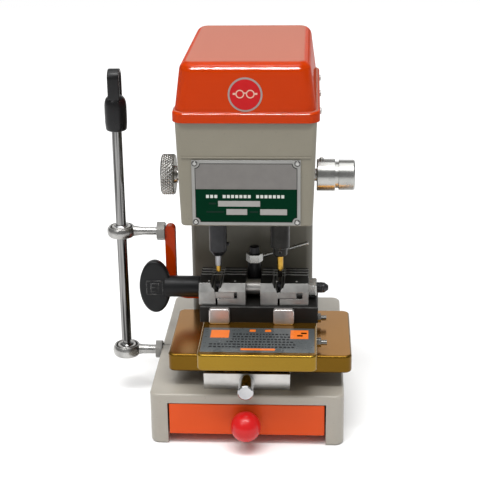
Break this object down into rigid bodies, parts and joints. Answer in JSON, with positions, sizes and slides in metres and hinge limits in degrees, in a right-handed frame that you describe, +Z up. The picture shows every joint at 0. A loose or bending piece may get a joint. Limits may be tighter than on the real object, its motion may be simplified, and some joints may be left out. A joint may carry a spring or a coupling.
{
  "type": "key duplicating machine",
  "caption": "Vertical bench key duplicating machine with belt-driven cutter, tracer, two-axis joystick table, two key vises, orange cover and drawer.",
  "frame": {"origin": "centre of the base footprint on the surface it stands on", "axes": "+Z up, -Y towards the operator, +X to the operator's right"},
  "size_m": [0.2462, 0.2757, 0.3595],
  "materials": {
    "grey_paint": "satin",
    "orange_paint": "gloss",
    "gold_anodised": "satin",
    "steel": "satin",
    "machined_cast_iron": "machined",
    "dark_steel": "satin",
    "chrome": "polished",
    "aluminium": "satin",
    "brass": "polished",
    "black_plastic": "satin",
    "orange_plastic": "gloss",
    "red_plastic": "gloss",
    "rubber": "matte",
    "plate_green": "satin"
  },
  "bodies": {
    "frame": {"base_casting": "grey_paint", "bottom_plate": "steel", "column": "grey_paint", "head_casting": "grey_paint", "belt_deck": "steel", "top_cover": "orange_paint", "cover_screws": "steel", "nameplate": "plate_green", "nameplate_rivets": "aluminium", "rear_cover": "grey_paint", "power_inlet": "black_plastic", "saddle": "steel", "lower_rod_end": "chrome", "lower_nut": "steel", "motor": "steel", "drive_belt": "rubber"},
    "cross_slide": {"x_slide_plate": "gold_anodised"},
    "table": {"y_slide_plate": "gold_anodised", "gib_screws": "steel", "vise_bar": "dark_steel", "clamp_blocks": "aluminium", "left_fixed_jaw": "machined_cast_iron", "right_fixed_jaw": "machined_cast_iron", "vise_spacer": "steel", "lock_post": "dark_steel", "lever_arm": "orange_paint", "upper_rod_end": "chrome", "upper_nut": "steel"},
    "lock_lever": {"lock_lever": "steel"},
    "left_jaw": {"left_moving_jaw": "machined_cast_iron"},
    "clamp_handle": {"clamp_handle": "black_plastic"},
    "right_jaw": {"right_moving_jaw": "machined_cast_iron", "tie_rod": "dark_steel", "clamp_nut": "steel"},
    "lower_race": {"lower_race": "steel"},
    "lever": {"lever_rod": "chrome", "lever_grip": "black_plastic"},
    "upper_race": {"upper_race": "steel"},
    "upper_ball": {"upper_ball": "chrome"},
    "feed": {"feed_shaft": "steel", "feed_hub": "chrome", "hub_screw": "steel"},
    "quills": {"spindle_quill": "steel", "spindle_bearings": "steel", "tracer_quill": "dark_steel", "quill_bridge": "machined_cast_iron", "tracer": "brass", "tracer_set_screw": "dark_steel"},
    "spindle": {"spindle_shaft": "dark_steel", "cutter": "brass", "cutter_set_screw": "dark_steel"},
    "spindle_pulley": {"spindle_pulley": "aluminium"},
    "motor_rotor": {"motor_shaft": "steel"},
    "tracer_knob": {"tracer_knob": "steel"},
    "drawer": {"drawer_tray": "orange_plastic", "drawer_front": "orange_plastic", "drawer_knob": "red_plastic"},
    "lock_pin": {"lock_pin": "chrome"},
    "power_rocker": {"power_rocker": "black_plastic"}
  },
  "joints": [
    {"name": "cross_travel", "type": "slide", "parent": "frame", "child": "cross_slide", "axis": [1, 0, 0], "range_m": [-0.02, 0.01]},
    {"name": "table_travel", "type": "slide", "parent": "cross_slide", "child": "table", "axis": [0, 1, 0], "range_m": [-0.013, 0.012]},
    {"name": "lock_lever_swing", "type": "hinge", "parent": "table", "child": "lock_lever", "pos_m": [0.004, -0.0195, 0.152], "axis": [0, 0, 1], "range_deg": [0, 8]},
    {"name": "left_jaw_travel", "type": "slide", "parent": "table", "child": "left_jaw", "axis": [1, 0, 0], "range_m": [-0.00225, 0]},
    {"name": "clamp_turn", "type": "hinge", "parent": "left_jaw", "child": "clamp_handle", "pos_m": [-0.07, -0.0405, 0.129], "axis": [1, 0, 0], "range_deg": [0, 1080]},
    {"name": "right_jaw_travel", "type": "slide", "parent": "table", "child": "right_jaw", "axis": [1, 0, 0], "range_m": [0, 0.00225]},
    {"name": "lower_race_tilt", "type": "hinge", "parent": "frame", "child": "lower_race", "pos_m": [-0.129, -0.011, 0.047], "axis": [0, 1, 0], "range_deg": [-9, 5]},
    {"name": "lever_tilt", "type": "hinge", "parent": "lower_race", "child": "lever", "pos_m": [-0.129, -0.011, 0.047], "axis": [1, 0, 0], "range_deg": [-6, 6]},
    {"name": "upper_race_tilt", "type": "hinge", "parent": "table", "child": "upper_race", "pos_m": [-0.129, -0.011, 0.176], "axis": [0, 1, 0], "range_deg": [-9, 5]},
    {"name": "upper_ball_tilt", "type": "hinge", "parent": "upper_race", "child": "upper_ball", "pos_m": [-0.129, -0.011, 0.176], "axis": [1, 0, 0], "range_deg": [-6, 6]},
    {"name": "feed_turn", "type": "hinge", "parent": "frame", "child": "feed", "pos_m": [0.08, -0.0235, 0.2388], "axis": [1, 0, 0], "range_deg": [-107.5, 0]},
    {"name": "quill_travel", "type": "slide", "parent": "frame", "child": "quills", "axis": [0, 0, 1], "range_m": [0, 0.015]},
    {"name": "spindle_spin", "type": "hinge", "parent": "quills", "child": "spindle", "pos_m": [0.03, -0.0415, 0.17], "axis": [0, 0, 1], "continuous": true},
    {"name": "spindle_pulley_spin", "type": "hinge", "parent": "frame", "child": "spindle_pulley", "pos_m": [0.03, -0.0415, 0.325], "axis": [0, 0, 1], "continuous": true},
    {"name": "motor_spin", "type": "hinge", "parent": "frame", "child": "motor_rotor", "pos_m": [0.016, 0.058, 0.3], "axis": [0, 0, 1], "continuous": true},
    {"name": "tracer_knob_turn", "type": "hinge", "parent": "frame", "child": "tracer_knob", "pos_m": [-0.075, -0.0235, 0.2388], "axis": [1, 0, 0], "range_deg": [-180, 180]},
    {"name": "drawer_travel", "type": "slide", "parent": "frame", "child": "drawer", "axis": [0, -1, 0], "range_m": [0, 0.15]},
    {"name": "lock_pin_pull", "type": "slide", "parent": "frame", "child": "lock_pin", "axis": [0, -1, 0], "range_m": [0, 0.008], "stiffness_N_per_m": 400},
    {"name": "power_switch", "type": "hinge", "parent": "frame", "child": "power_rocker", "pos_m": [-0.022, 0.1175, 0.11], "axis": [1, 0, 0], "range_deg": [0, 6]}
  ],
  "couplings": [
    {"joint": "lower_race_tilt", "follows": "cross_travel", "rad_per_m": 7.7519},
    {"joint": "upper_race_tilt", "follows": "cross_travel", "rad_per_m": 7.7519},
    {"joint": "lever_tilt", "follows": "table_travel", "rad_per_m": -7.7519},
    {"joint": "upper_ball_tilt", "follows": "table_travel", "rad_per_m": -7.7519},
    {"joint": "clamp_turn", "follows": "left_jaw_travel", "rad_per_m": -8377.6},
    {"joint": "right_jaw_travel", "follows": "left_jaw_travel", "ratio": -1},
    {"joint": "feed_turn", "follows": "quill_travel", "rad_per_m": -125},
    {"joint": "spindle_spin", "follows": "motor_spin", "ratio": 0.8},
    {"joint": "spindle_pulley_spin", "follows": "motor_spin", "ratio": 0.8}
  ]
}
